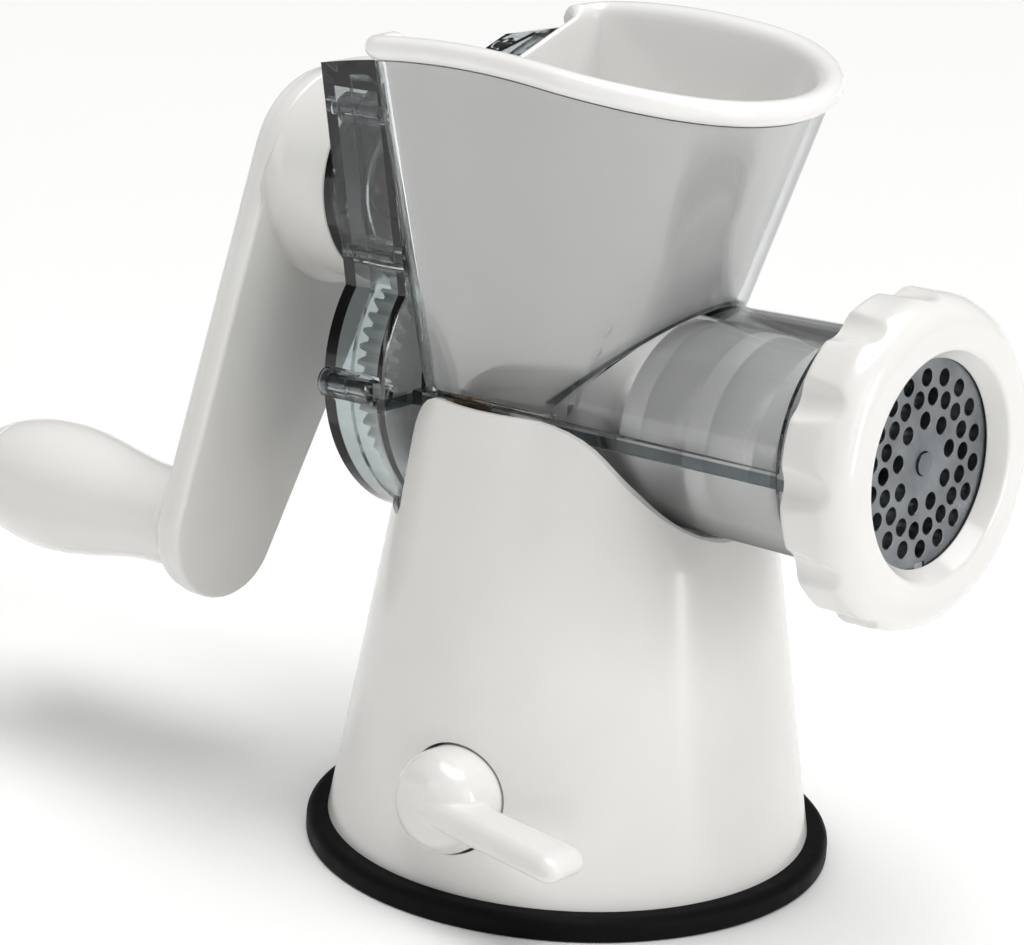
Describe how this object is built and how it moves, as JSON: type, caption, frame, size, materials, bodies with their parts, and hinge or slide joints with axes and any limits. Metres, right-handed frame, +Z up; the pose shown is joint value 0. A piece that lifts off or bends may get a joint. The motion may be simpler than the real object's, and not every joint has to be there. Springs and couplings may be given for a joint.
{
  "type": "meat grinder",
  "caption": "Hand-cranked meat grinder: clear geared body with hopper liner, auger, knife and perforated plate under a ring nut, on a white cone base held down by a suction foot.",
  "frame": {"origin": "centre of the sole on the table, on the base cone's axis", "axes": "+Z up, +X towards the ring nut, the suction lever on the -Y side; the barrel's axis lies in the XZ plane and rises 3 degrees towards +X"},
  "size_m": [0.2905, 0.1414, 0.2124],
  "materials": {
    "white_gloss": "moulded gloss",
    "white_nylon": "satin",
    "clear_smoke": "clear moulded",
    "steel": "ground",
    "bronze": "turned",
    "black_rubber": "matt moulded"
  },
  "bodies": {
    "housing": {"base_shell": "white_gloss", "foot_ring": "black_rubber", "suction_membrane": "black_rubber", "guide_plate": "white_nylon", "guide_screws": "steel", "grinder_body": "clear_smoke", "body_screws": "steel", "gear_cover": "clear_smoke", "cover_screws": "steel", "crank_bush": "bronze", "hub_seal": "black_rubber", "thrust_washer": "bronze", "perforated_plate": "steel"},
    "crank": {"crank_arm": "white_gloss", "crank_shaft": "steel", "drive_pinion": "white_nylon", "crank_screw": "steel", "grip_pin": "steel"},
    "handle": {"grip": "white_gloss", "grip_cap": "white_gloss"},
    "screw": {"drive_gear": "white_nylon", "auger": "white_nylon", "auger_pin": "steel", "knife": "steel"},
    "lever": {"suction_lever": "white_gloss", "cam_shaft": "steel", "shaft_clip": "steel"},
    "plunger": {"plunger": "white_nylon"},
    "liner": {"hopper_liner": "white_gloss"},
    "nut": {"ring_nut": "white_gloss"}
  },
  "joints": [
    {"name": "crank_turn", "type": "hinge", "parent": "housing", "child": "crank", "pos_m": [-0.00235, 0, 0.16594], "axis": [0.9986, 0, 0.0523], "continuous": true},
    {"name": "grip_spin", "type": "hinge", "parent": "crank", "child": "handle", "pos_m": [0.00235, -0.045, 0.07606], "axis": [0.9986, 0, 0.0523], "continuous": true},
    {"name": "auger_turn", "type": "hinge", "parent": "housing", "child": "screw", "pos_m": [0, 0, 0.121], "axis": [0.9986, 0, 0.0523], "continuous": true},
    {"name": "lever_turn", "type": "hinge", "parent": "housing", "child": "lever", "pos_m": [0.01, -0.05, 0.029], "axis": [0, -1, 0], "range_deg": [0, 90]},
    {"name": "plunger_slide", "type": "slide", "parent": "housing", "child": "plunger", "axis": [0, 0, 1], "range_m": [-0.00495, 0], "deforming": ["suction_membrane"]},
    {"name": "liner_lift", "type": "slide", "parent": "housing", "child": "liner", "axis": [-0.0523, 0, 0.9986], "range_m": [0, 0.09]},
    {"name": "nut_turn", "type": "hinge", "parent": "housing", "child": "nut", "pos_m": [0.09487, 0, 0.12597], "axis": [0.9986, 0, 0.0523], "range_deg": [0, 360]}
  ],
  "couplings": [
    {"joint": "auger_turn", "follows": "crank_turn", "ratio": -0.5},
    {"joint": "plunger_slide", "follows": "lever_turn", "m_per_rad": -0.0031511}
  ]
}
